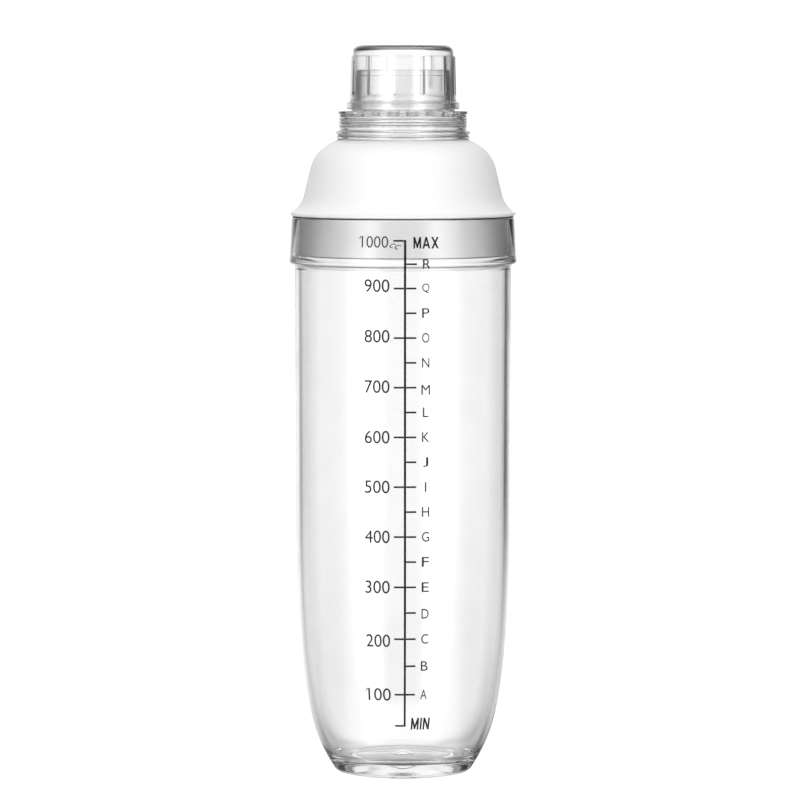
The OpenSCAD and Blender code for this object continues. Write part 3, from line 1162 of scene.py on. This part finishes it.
@dataclass
class Lid:
    """The frosted shoulder lid with its plug, and the seal under its lip, whose near-black colour is painted
    shadow for the gap there.

    Attributes:
        finishes: the bottle's materials.
        rim: height of the cup's rim.
        mouth: radius of the cup's mouth.
        wall: thickness of the shell.
        lip: radius of the lip.
        lip_t: thickness of the lip.
        plug_gap: clearance of the plug in the mouth.
        plug_depth: depth of the plug below the rim.
        seal: thickness of the seal.
        seal_in: how far outside the mouth the seal starts.
        slope: slope of the side from upright, in degrees.
        side: radius that the side's slope would have at the rim.
        flare: radius of the flare into the lip, and the height of its centre.
        shoulder: radius of the first shoulder arc, and the height where it starts.
        roll: radius of the second shoulder arc, and the angle where it takes over.
        seat: height of the neck's seat above the rim.
        throat: radius of the hole for the neck.
    """

    finishes: Finishes
    rim: float
    mouth: float
    wall: float = 2.0
    lip: float = 44.6
    lip_t: float = 1.3
    plug_gap: float = 0.3
    plug_depth: float = 15.5
    seal: float = 0.4
    seal_in: float = 0.4
    slope: float = 13.4
    side: float = 41.4
    flare: Point = (11.35, 11.44)
    shoulder: Point = (15.5, 18.96)
    roll: Point = (19.0, 54.9)
    seat: float = 30.6
    throat: float = 24.0

    def rise(self, inset: float, start: float) -> Path:
        """The shell's outline from the flare to the crown, above the rim.

        Args:
            inset: how far inside the outer surface.
            start: where the flare starts round its arc, in degrees.

        Returns:
            Points from the flare up.
        """
        lean = math.radians(self.slope)
        out, up = math.cos(lean), math.sin(lean)
        flare_r, flare_z = self.flare
        flare_centre = (self.side - flare_z * math.tan(lean) + flare_r / out, flare_z)
        arc_r, arc_z = self.shoulder
        shoulder = (self.side - arc_z * math.tan(lean) - arc_r * out, arc_z - arc_r * up)
        roll_r, turn = self.roll
        bend = math.radians(turn)
        step = arc_r - roll_r
        roll = (shoulder[0] + step * math.cos(bend), shoulder[1] + step * math.sin(bend))
        return (
            arc(flare_centre, flare_r + inset, 180.0 + start, 180.0 + self.slope, 14)
            + arc(shoulder, arc_r - inset, self.slope, turn, 14)
            + arc(roll, roll_r - inset, turn, 90.0, 16)[1:]
        )

    def build(self) -> bpy.types.Object:
        """Turns the lid's shell.

        Returns:
            The lid.
        """
        lip_top, plug = self.seal + self.lip_t, self.mouth - self.plug_gap
        flare_r, flare_z = self.flare
        outer = self.rise(0.0, math.degrees(math.asin((flare_z - lip_top) / flare_r)))
        crown = [p for p in outer if p[1] < self.seat]
        bore = plug - self.wall
        lean = math.cos(math.radians(self.slope))
        centre_r = self.side - flare_z * math.tan(math.radians(self.slope)) + flare_r / lean
        start = math.degrees(math.acos((centre_r - bore) / (flare_r + self.wall)))
        inner = [p for p in self.rise(self.wall, start) if p[0] > self.throat]
        lip = eased([
            (bore, self.seal + 1.0, 0.0),
            (bore, self.seal, 0.2),
            (self.lip - 0.9, self.seal, 0.2),
            (self.lip, self.seal + 0.45, 0.25),
            (self.lip, lip_top - 0.05, 0.35),
            (crown[0][0] + 0.25, lip_top, 0.2),
            (*crown[1], 0.0),
        ])
        last = crown[-1]
        seat = eased([
            (*last, 0.0),
            (last[0] - (self.seat - last[1]) * 1.5, self.seat, 0.2),
            (self.throat, self.seat, 0.25),
            (self.throat, inner[-1][1], 0.25),
            (*inner[-1], 0.0),
        ])
        path = lip + crown[2:] + seat[1:-1] + list(reversed(inner))
        lid = turned("frosted_lid", [(r, z + self.rim) for r, z in path], 288, closed=True)
        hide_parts("lid_shell")
        settle(lid, Body.LID, self.finishes.frosted)
        return lid

    def build_plug(self) -> bpy.types.Object:
        """Turns the plug under the lip.

        Returns:
            The plug.
        """
        plug = self.mouth - self.plug_gap
        bore, root = plug - self.wall, self.seal - 0.02
        path = eased([
            (bore, root - 4.0, 0.0),
            (bore, -self.plug_depth, 0.5),
            (plug - 0.6, -self.plug_depth, 0.4),
            (plug, 0.6 - self.plug_depth, 0.4),
            (plug, root, 0.1),
            (bore, root, 0.1),
            (bore, root - 4.0, 0.0),
        ])[:-1]
        piece = turned("lid_plug", [(r, z + self.rim) for r, z in path], 288, closed=True)
        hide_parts("lid_shell")
        settle(piece, Body.LID, self.finishes.etched)
        return piece

    def build_seal(self) -> bpy.types.Object:
        """Turns the thin seal, its edges eased; its near-black colour is painted shadow for the gap under the
        lip.

        Returns:
            The seal.
        """
        low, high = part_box("lid_seal")
        bottom, top, outer = self.rim, self.rim + high.z / MM - low.z / MM, high.x / MM
        inner = self.mouth + self.seal_in
        edge = (top - bottom) * 0.3
        corners = [(inner, bottom), (outer, bottom), (outer, top), (inner, top)]
        ring = [((outer + inner) / 2, bottom, 0.0)] + [(r, z, edge) for r, z in corners[1:3]]
        ring += [(inner, top, edge), (inner, bottom, edge), ((outer + inner) / 2, bottom, 0.0)]
        seal = turned("seal_painted_gap_shadow", eased(ring)[:-1], 288, closed=True)
        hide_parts("lid_seal")
        settle(seal, Body.LID, self.finishes.rubber)
        return seal


# ---------------------------------------------------------------- the straining neck


@dataclass
class StrainingNeck:
    """The clear ring and neck that hold the straining plate.

    Attributes:
        finishes: the bottle's materials.
        seat: height of its seat on the lid.
        ring: outside radius of the ring.
        ring_height: height of the ring.
        skirt: outside radius of the skirt in the lid.
        skirt_in: inside radius of the ring and skirt.
        skirt_depth: how far the skirt reaches down.
        ribs: heights of the fine ribs round the ring.
        neck: outside radius of the neck.
        neck_wall: thickness of the neck.
        neck_height: height of the neck above the ring.
        plate: thickness of the straining plate.
        rest: height of the ridge that the cap rests on.
        rest_in: inside radius of that ridge.
        rest_out: its outside radius.
        hole: radius of a straining hole.
        holes: radius of each ring of holes, and how many it has.
    """

    finishes: Finishes
    seat: float
    ring: float = 25.2
    ring_height: float = 11.3
    skirt: float = 23.95
    skirt_in: float = 22.2
    skirt_depth: float = 2.4
    ribs: tuple[float, ...] = (5.6, 6.7, 8.1)
    neck: float = 18.7
    neck_wall: float = 1.6
    neck_height: float = 16.2
    plate: float = 1.8
    rest: float = 0.7
    rest_in: float = 19.4
    rest_out: float = 20.6
    hole: float = 2.3
    holes: tuple[tuple[float, int], ...] = ((0.0, 1), (5.9, 6), (12.2, 12))

    def build(self) -> bpy.types.Object:
        """Turns the neck and drills its plate.

        Returns:
            The neck.
        """
        top, under = self.ring_height, self.ring_height - self.plate
        outer = [
            (self.skirt_in, -self.skirt_depth + 2.0, 0.0),
            (self.skirt_in, -self.skirt_depth, 0.3),
            (self.skirt, -self.skirt_depth, 0.4),
            (self.skirt, 0.0, 0.15),
            (self.ring + 0.5, 0.0, 0.2),
            (self.ring + 1.25, 0.3, 0.25),
            (self.ring + 1.25, 1.4, 0.3),
            (self.ring + 0.6, 1.7, 0.2),
            (self.ring + 0.7, 2.0, 0.2),
            (self.ring + 1.45, 2.1, 0.3),
            (self.ring + 1.45, 3.2, 0.35),
            (self.ring, 3.7, 0.3),
        ]
        for z in self.ribs:
            outer += [(self.ring, z - 0.5, 0.15), (self.ring + 0.4, z, 0.25), (self.ring, z + 0.5, 0.15)]
        bore = self.neck - self.neck_wall
        rise = top + self.neck_height
        ridge = top + self.rest - 0.02
        outer += [
            (self.ring, top - 1.4, 0.2),
            (self.ring + 0.5, top - 1.1, 0.3),
            (self.ring + 0.5, top, 0.45),
            (self.rest_out, top, 0.2),
            (self.rest_out, ridge, 0.2),
            (self.rest_in, ridge, 0.2),
            (self.rest_in, top, 0.2),
            (self.neck, top, 0.3),
            (self.neck, rise - 2.4, 0.2),
            (self.neck - 0.25, rise - 2.1, 0.2),
            (self.neck - 0.25, rise, 0.55),
            (bore, rise, 0.5),
            (bore, top, 0.4),
            (0.0, top, 0.0),
        ]
        inside = eased([
            (0.0, under, 0.0),
            (self.skirt_in, under, 0.6),
            (self.skirt_in, -self.skirt_depth + 2.0, 0.0),
        ])
        path = eased(outer) + inside[:-1]
        neck = turned("straining_neck", [(r, z + self.seat) for r, z in path], 240, closed=True)
        cut(neck, self.drills())
        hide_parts("strainer_neck")
        settle(neck, Body.LID, self.finishes.satin)
        return neck

    def drills(self) -> bpy.types.Object:
        """The shape of every straining hole, flared where it meets the plate's faces.

        Returns:
            The drills as one cutter.
        """
        top, under = self.seat + self.ring_height, self.seat + self.ring_height - self.plate
        flare, sides = 0.35, 40
        angles = [2 * math.pi * j / sides for j in range(sides)]
        wide, hole = self.hole + 0.8, self.hole
        rings = [(wide, under - 0.45), (hole, under + flare), (hole, top - flare), (wide, top + 0.45)]
        mesh = bmesh.new()
        for reach, count in self.holes:
            for k in range(count):
                turn = 2 * math.pi * k / count
                x, y = reach * math.cos(turn), reach * math.sin(turn)
                rows = []
                for r, z in rings:
                    spots = [Vector((x + r * math.cos(a), y + r * math.sin(a), z)) for a in angles]
                    rows.append([mesh.verts.new(spot * MM) for spot in spots])
                for low, high in zip(rows, rows[1:]):
                    for j in range(sides):
                        mesh.faces.new((low[j], low[(j + 1) % sides], high[(j + 1) % sides], high[j]))
                mesh.faces.new(list(reversed(rows[0])))
                mesh.faces.new(rows[-1])
        bmesh.ops.recalc_face_normals(mesh, faces=mesh.faces)
        return solid_from(mesh, "drills")


# ---------------------------------------------------------------- the cap


@dataclass
class Cap:
    """The clear cap: a flange, a fluted wall and a plain crown.

    Attributes:
        finishes: the bottle's materials.
        seat: height of its open end.
        height: height of the cap.
        flange: radius of the flange.
        flange_height: height of the flange.
        wall: radius of the fluted wall at its lower end.
        draft: how much the wall narrows up to the crown.
        crown: radius of the crown.
        crown_z: height where the flutes run out.
        crown_round: rounding of the crown's top edge.
        inside: radius of the hollow.
        top: thickness of the top.
        flutes: how many flutes there are.
        flute_width: width of a flute.
        flute_depth: depth of a flute.
        flute_end: height of the middle of a flute's round end.
        flute_turn: turn of the front flute, in degrees.
    """

    finishes: Finishes
    seat: float
    height: float = 25.3
    flange: float = 22.5
    flange_height: float = 2.8
    wall: float = 21.2
    draft: float = 0.45
    crown: float = 20.15
    crown_z: float = 20.8
    crown_round: float = 3.4
    inside: float = 19.0
    top: float = 2.0
    flutes: int = 12
    flute_width: float = 2.7
    flute_depth: float = 0.45
    flute_end: float = 6.6
    flute_turn: float = -8.7

    def carve(self, angle: float, radius: float, z: float) -> float:
        """How far a flute goes into the wall.

        Args:
            angle: angle round the axis.
            radius: radius of the plain wall there.
            z: height.

        Returns:
            The depth, 0 away from the flutes.
        """
        level = z - self.seat
        if radius < self.wall - self.draft - 0.25 or not self.flange_height < level < self.crown_z + 0.3:
            return 0.0
        pitch = 2 * math.pi / self.flutes
        first = math.radians(self.flute_turn - 90.0)
        off = (angle - first + pitch / 2) % pitch - pitch / 2
        away = math.hypot(off * radius, min(0.0, level - self.flute_end))
        half = self.flute_width / 2
        if away >= half + 0.15:
            return 0.0
        return self.flute_depth * (0.5 + 0.5 * math.cos(math.pi * min(1.0, away / half)))

    def build(self) -> bpy.types.Object:
        """Turns the cap and presses its flutes in.

        Returns:
            The cap.
        """
        wall_top = self.wall - self.draft
        wall = [(self.wall - self.draft * t, self.flange_height + (self.crown_z - self.flange_height) * t)
                for t in np.linspace(0.05, 1.0, 90)]
        ceiling = self.height - self.top
        outer = eased([
            (self.inside, 2.0, 0.0),
            (self.inside, 0.0, 0.35),
            (self.flange, 0.0, 0.8),
            (self.flange, self.flange_height, 0.7),
            (self.wall, self.flange_height, 0.5),
            (*wall[1], 0.0),
        ])
        shoulder = eased([
            (*wall[-1], 0.0),
            (wall_top - 0.03, self.crown_z + 0.12, 0.1),
            (self.crown, self.crown_z + 0.2, 0.12),
            (self.crown, self.height - self.crown_round - 0.2, 0.0),
        ])
        flat = self.crown - self.crown_round
        crown = arc((flat, self.height - self.crown_round), self.crown_round, 0.0, 90.0, 16)
        across = [(r, self.height) for r in np.linspace(flat - 1.0, 0.0, 8)]
        hollow = eased([
            (0.0, ceiling, 0.0),
            (self.inside, ceiling, 1.4),
            (self.inside, 2.0, 0.0),
        ], steps=10)
        path = outer + wall[2:] + shoulder[1:] + crown + across + hollow[:-1]
        cap = turned("fluted_cap", [(r, z + self.seat) for r, z in path], 720, closed=True, carve=self.carve)
        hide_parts("cap")
        settle(cap, Body.CAP, self.finishes.satin)
        return cap


# ---------------------------------------------------------------- the studio


@dataclass
class Studio:
    """A white sweep, soft light all round that is greyer at the sides, and the camera.

    Attributes:
        distance: from the camera to the bottle's axis, in metres.
        lift: how far the camera looks down, in degrees.
        lens: focal length on a 36 mm sensor.
        aim: the point that the camera looks at.
        reach: radius of the floor.
        left: brightness of the tent's left side.
        right: brightness of its right side.
        panel: brightness of the panels beside the camera.
        room: brightness round the camera.
        sweep: brightness behind the bottle.
        backdrop: brightness that the camera sees beside the bottle.
        top: brightness overhead.
        ground: brightness of the floor near the bottle.
        shade: how much of that is left under the foot.
    """

    distance: float = 1.895
    lift: float = 4.0
    lens: float = 214.3
    aim: tuple[float, float, float] = (-0.0012, 0.0, 0.1482)
    reach: float = 30.0
    left: float = 0.22
    right: float = 0.085
    panel: float = 2.4
    room: float = 0.12
    sweep: float = 1.12
    backdrop: float = 1.1
    top: float = 1.1
    ground: float = 0.95
    shade: float = 0.15

    def camera(self) -> None:
        """Sets up the camera on the side that the scale faces."""
        data = bpy.data.cameras.new("camera")
        data.lens = self.lens
        data.sensor_width = 36.0
        data.clip_end = 100.0
        camera = bpy.data.objects.new("camera", data)
        bpy.context.scene.collection.objects.link(camera)
        lift = math.radians(self.lift)
        away = Vector((0.0, -math.cos(lift), math.sin(lift))) * self.distance
        camera.location = Vector(self.aim) + away
        camera.rotation_euler = (-away).to_track_quat("-Z", "Y").to_euler()
        bpy.context.scene.camera = camera

    def tent(self) -> bpy.types.NodeTree:
        """The tent's brightness in every direction, built once for the walls and the floor.

        It is white behind and above, has a white panel on either side of the camera, is
        grey at the sides, darker on the right, and is dark round the camera.

        Returns:
            The group, which turns a direction into a brightness.
        """
        name = "tent brightness"
        if name in bpy.data.node_groups:
            return bpy.data.node_groups[name]
        tree = bpy.data.node_groups.new(name, "ShaderNodeTree")
        tree.interface.new_socket("Direction", in_out="INPUT", socket_type="NodeSocketVector")
        tree.interface.new_socket("Brightness", in_out="OUTPUT", socket_type="NodeSocketFloat")
        wiring = Wiring(tree)
        given, gives = wiring.add("NodeGroupInput"), wiring.add("NodeGroupOutput")
        unit = wiring.add("ShaderNodeVectorMath", operation="NORMALIZE")
        wiring.link(given.outputs["Direction"], unit.inputs[0])
        parts = wiring.add("ShaderNodeSeparateXYZ")
        wiring.link(unit.outputs[0], parts.inputs[0])
        side, back, up = parts.outputs["X"], parts.outputs["Y"], parts.outputs["Z"]
        level = wiring.math("SQRT", wiring.math("ADD", wiring.math("MULTIPLY", side, side),
                                                wiring.math("MULTIPLY", back, back)))
        across = wiring.math("DIVIDE", side, wiring.math("MAXIMUM", level, 0.01))
        along = wiring.math("DIVIDE", back, wiring.math("MAXIMUM", level, 0.01))
        ahead = wiring.math("MULTIPLY", along, -1.0)
        bright = wiring.spread(across, (-0.9, 0.9), (self.left, self.right))
        panels = wiring.spread(ahead, (0.3, 0.85), (0.0, 1.0))
        bright = self.towards(wiring, bright, self.panel, panels)
        above = wiring.math("MULTIPLY", wiring.spread(up, (-0.1, 0.02), (0.0, 1.0)),
                            wiring.spread(up, (0.25, 0.5), (1.0, 0.0)))
        dark = wiring.math("MULTIPLY", wiring.spread(ahead, (0.82, 0.98), (0.0, 1.0)), above)
        bright = self.towards(wiring, bright, self.room, dark)
        leftward = wiring.math("SUBTRACT", along, wiring.math("MULTIPLY", across, 0.06))
        bright = self.towards(wiring, bright, self.sweep, wiring.spread(leftward, (0.83, 0.98), (0.0, 1.0)))
        bright = self.towards(wiring, bright, self.top, wiring.spread(up, (0.45, 0.85), (0.0, 1.0)))
        wiring.link(bright, gives.inputs["Brightness"])
        return tree

    @staticmethod
    def towards(
        wiring: Wiring, start: bpy.types.NodeSocket, value: float, mask: bpy.types.NodeSocket
    ) -> bpy.types.NodeSocket:
        """Moves a brightness towards a value by a mask.

        Args:
            wiring: the tree that it is built in.
            start: the brightness where the mask is 0.
            value: the brightness where the mask is 1.
            mask: the mask.

        Returns:
            The mixed brightness.
        """
        mix = wiring.add("ShaderNodeMix", data_type="FLOAT")
        wiring.link(mask, mix.inputs[0])
        wiring.link(start, mix.inputs[2])
        mix.inputs[3].default_value = value
        return mix.outputs[0]

    def world(self) -> None:
        """Lights the scene from all round, and shows white where the camera looks past it."""
        world = bpy.data.worlds.new("tent")
        world.use_nodes = True
        world.node_tree.nodes.clear()
        wiring = Wiring(world.node_tree)
        place = wiring.add("ShaderNodeTexCoord")
        tent = wiring.add("ShaderNodeGroup", node_tree=self.tent())
        wiring.link(place.outputs["Generated"], tent.inputs["Direction"])
        light = wiring.add("ShaderNodeLightPath")
        shown = wiring.math("MULTIPLY", light.outputs["Is Camera Ray"], self.backdrop)
        seen = wiring.math("MAXIMUM", tent.outputs["Brightness"], shown)
        glow = wiring.add("ShaderNodeBackground")
        glow.inputs["Color"].default_value = (1.0, 1.0, 1.0, 1.0)
        wiring.link(seen, glow.inputs["Strength"])
        output = wiring.add("ShaderNodeOutputWorld")
        wiring.link(glow.outputs[0], output.inputs["Surface"])
        bpy.context.scene.world = world

    def floor(self) -> None:
        """Lays the pale floor, a little greyer near the bottle than far behind it, and darkened under the
        foot by a painted shadow.
        """
        mesh = bmesh.new()
        bmesh.ops.create_circle(mesh, cap_ends=True, segments=96, radius=self.reach)
        data = bpy.data.meshes.new("floor")
        mesh.to_mesh(data)
        mesh.free()
        floor = bpy.data.objects.new("floor", data)
        floor.location.z = -0.0002
        bpy.context.scene.collection.objects.link(floor)
        material = bpy.data.materials.new("pale floor")
        material.use_nodes = True
        material.node_tree.nodes.clear()
        wiring = Wiring(material.node_tree)
        place = wiring.add("ShaderNodeTexCoord")
        span = wiring.add("ShaderNodeVectorMath", operation="LENGTH")
        wiring.link(place.outputs["Object"], span.inputs[0])
        tent = wiring.add("ShaderNodeGroup", node_tree=self.tent())
        wiring.link(place.outputs["Object"], tent.inputs["Direction"])
        near = wiring.spread(span.outputs["Value"], (0.05, 1.5), (0.6, 0.0))
        along = wiring.add("ShaderNodeSeparateXYZ")
        wiring.link(place.outputs["Object"], along.inputs[0])
        depth = wiring.math("ABSOLUTE", along.outputs["Y"])
        lengthways = wiring.math("DIVIDE", depth, wiring.math("MAXIMUM", span.outputs["Value"], 0.01))
        fore = wiring.spread(lengthways, (0.3, 0.8), (0.25, 1.0))
        pale = wiring.math("MULTIPLY", near, fore)
        bright = self.towards(wiring, tent.outputs["Brightness"], self.ground, pale)
        # Painted shadow: the floor's glow is cut down under the bottle's foot.
        under = wiring.spread(span.outputs["Value"], (0.021, 0.031), (self.shade, 1.0))
        bright = wiring.math("MULTIPLY", bright, under)
        light = wiring.add("ShaderNodeLightPath")
        shown = wiring.math("MULTIPLY", light.outputs["Is Camera Ray"], self.backdrop)
        seen = wiring.math("MAXIMUM", bright, shown)
        glow = wiring.add("ShaderNodeEmission")
        wiring.link(seen, glow.inputs["Strength"])
        output = wiring.add("ShaderNodeOutputMaterial")
        wiring.link(glow.outputs[0], output.inputs["Surface"])
        data.materials.append(material)

    def look(self) -> None:
        """Sets how light is carried and shown."""
        scene = bpy.context.scene
        scene.view_settings.view_transform = "Standard"
        scene.cycles.max_bounces = 24
        scene.cycles.transmission_bounces = 24
        scene.cycles.glossy_bounces = 8
        scene.cycles.diffuse_bounces = 4
        scene.cycles.use_denoising = True

    def build(self) -> None:
        """Builds the whole studio."""
        self.camera()
        self.world()
        self.floor()
        self.look()


def main() -> None:
    """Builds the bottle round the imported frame, then the studio."""
    logging.basicConfig(level=logging.INFO, format="%(message)s")
    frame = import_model()
    finishes = Finishes.mixed()
    cup = Cup(finishes)
    cup.build()
    scale = Graduations(finishes, cup)
    scale.build()
    scale.dress(frame)
    lid = Lid(finishes, rim=cup.height, mouth=cup.mouth)
    lid.build()
    lid.build_plug()
    lid.build_seal()
    neck = StrainingNeck(finishes, seat=cup.height + lid.seat)
    neck.build()
    Cap(finishes, seat=neck.seat + neck.ring_height + neck.rest).build()
    Studio().build()


if __name__ == "__main__":
    main()
